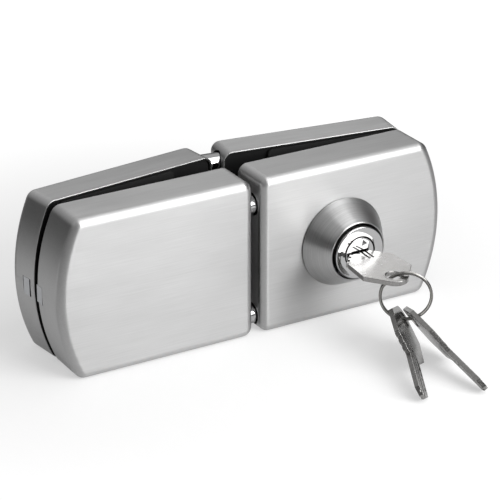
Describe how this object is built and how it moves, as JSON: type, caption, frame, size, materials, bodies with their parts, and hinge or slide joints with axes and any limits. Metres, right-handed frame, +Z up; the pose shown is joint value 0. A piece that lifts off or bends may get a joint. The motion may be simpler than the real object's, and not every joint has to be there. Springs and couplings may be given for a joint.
{
  "type": "double glass door lock",
  "caption": "Clamp-on lock for the meeting edges of two frameless glass doors, with round bolts thrown by a key or a thumb turn.",
  "frame": {"origin": "on the two doors' meeting line, on the plane of the front covers' rims, at mid height", "axes": "+X from the strike half to the lock half, -Y towards the key side, +Z up"},
  "size_m": [0.202, 0.1696, 0.076],
  "materials": {
    "brushed_stainless": "brushed lengthwise",
    "bright_chrome": "polished chrome plate",
    "black_coated_steel": "satin black powder coat",
    "black_rubber": "matt",
    "nickel_plated_brass": "satin nickel plate over brass",
    "zinc_plated_steel": "bright zinc plate"
  },
  "bodies": {
    "lock_front": {"lock_front_cover": "brushed_stainless", "lock_front_plate": "black_coated_steel", "lock_front_pad": "black_rubber", "lock_front_upper_guide": "black_coated_steel", "lock_front_lower_guide": "black_coated_steel", "lock_front_catch": "zinc_plated_steel", "lock_front_upper_stud": "zinc_plated_steel", "lock_front_lower_stud": "zinc_plated_steel", "lock_hinge_pin": "zinc_plated_steel", "lock_upper_clamp_screw": "zinc_plated_steel", "lock_lower_clamp_screw": "zinc_plated_steel", "escutcheon": "brushed_stainless", "cylinder": "bright_chrome", "cylinder_bracket": "zinc_plated_steel", "cylinder_nut": "zinc_plated_steel"},
    "key_plug": {"plug": "bright_chrome", "lock_front_pinion": "zinc_plated_steel"},
    "front_bolts": {"lock_front_carriage": "zinc_plated_steel", "lock_front_upper_bolt": "bright_chrome", "lock_front_lower_bolt": "bright_chrome", "drive_pin": "zinc_plated_steel"},
    "lock_rear": {"lock_rear_cover": "brushed_stainless", "lock_rear_plate": "black_coated_steel", "lock_rear_pad": "black_rubber", "lock_rear_upper_guide": "black_coated_steel", "lock_rear_lower_guide": "black_coated_steel", "lock_rear_catch": "zinc_plated_steel", "lock_rear_upper_stud": "zinc_plated_steel", "lock_rear_lower_stud": "zinc_plated_steel", "thumb_rose": "brushed_stainless"},
    "rear_bolts": {"lock_rear_carriage": "zinc_plated_steel", "lock_rear_upper_bolt": "bright_chrome", "lock_rear_lower_bolt": "bright_chrome"},
    "thumb_turn": {"thumb_turn": "brushed_stainless", "lock_rear_pinion": "zinc_plated_steel"},
    "key": {"key": "nickel_plated_brass"},
    "key_ring": {"key_ring": "nickel_plated_brass"},
    "spare_key_1": {"spare_key_1": "nickel_plated_brass"},
    "spare_key_2": {"spare_key_2": "nickel_plated_brass"},
    "strike_front": {"strike_front_cover": "brushed_stainless", "strike_front_plate": "black_coated_steel", "strike_front_pad": "black_rubber", "strike_front_upper_socket": "black_coated_steel", "strike_front_lower_socket": "black_coated_steel", "strike_front_catch": "zinc_plated_steel", "strike_hinge_pin": "zinc_plated_steel", "strike_upper_clamp_screw": "zinc_plated_steel", "strike_lower_clamp_screw": "zinc_plated_steel"},
    "strike_rear": {"strike_rear_cover": "brushed_stainless", "strike_rear_plate": "black_coated_steel", "strike_rear_pad": "black_rubber", "strike_rear_upper_socket": "black_coated_steel", "strike_rear_lower_socket": "black_coated_steel", "strike_rear_catch": "zinc_plated_steel"}
  },
  "joints": [
    {"name": "key_turn", "type": "hinge", "parent": "lock_front", "child": "key_plug", "pos_m": [0.0444, -0.0369, -0.0009], "axis": [0, 1, 0], "range_deg": [0, 90]},
    {"name": "front_bolts_throw", "type": "slide", "parent": "lock_front", "child": "front_bolts", "axis": [1, 0, 0], "range_m": [0, 0.0108]},
    {"name": "lock_rear_jaw", "type": "hinge", "parent": "lock_front", "child": "lock_rear", "pos_m": [0.009, 0.00695, 0], "axis": [0, 0, 1], "range_deg": [0, 7.5]},
    {"name": "rear_bolts_throw", "type": "slide", "parent": "lock_rear", "child": "rear_bolts", "axis": [0.9914, -0.1305, 0], "range_m": [0, 0.0108]},
    {"name": "thumb_turn_turn", "type": "hinge", "parent": "lock_rear", "child": "thumb_turn", "pos_m": [0.04745, 0.02776, 0.0009], "axis": [0.1305, 0.9914, 0], "range_deg": [-90, 0]},
    {"name": "key_withdraw", "type": "slide", "parent": "key_plug", "child": "key", "axis": [0, -0.9996, -0.0279], "range_m": [0, 0.03]},
    {"name": "ring_swing", "type": "hinge", "parent": "key", "child": "key_ring", "pos_m": [0.0444, -0.0645, -0.00202], "axis": [0.8634, -0.5045, 0], "range_deg": [-3, 9]},
    {"name": "spare_key_1_swing", "type": "hinge", "parent": "key_ring", "child": "spare_key_1", "pos_m": [0.04803, -0.06662, -0.02252], "axis": [-0.8634, 0.5045, 0], "range_deg": [0, 20]},
    {"name": "spare_key_2_swing", "type": "hinge", "parent": "key_ring", "child": "spare_key_2", "pos_m": [0.0526, -0.06929, -0.02197], "axis": [-0.8634, 0.5045, 0], "range_deg": [0, 8]},
    {"name": "halves_apart", "type": "slide", "parent": "lock_front", "child": "strike_front", "axis": [-1, 0, 0], "range_m": [0, 0.03]},
    {"name": "strike_rear_jaw", "type": "hinge", "parent": "strike_front", "child": "strike_rear", "pos_m": [-0.009, 0.00695, 0], "axis": [0, 0, -1], "range_deg": [0, 6.8]}
  ],
  "couplings": [
    {"joint": "key_turn", "follows": "front_bolts_throw", "rad_per_m": 145.45},
    {"joint": "rear_bolts_throw", "follows": "front_bolts_throw", "ratio": 1},
    {"joint": "thumb_turn_turn", "follows": "front_bolts_throw", "rad_per_m": -145.45}
  ]
}
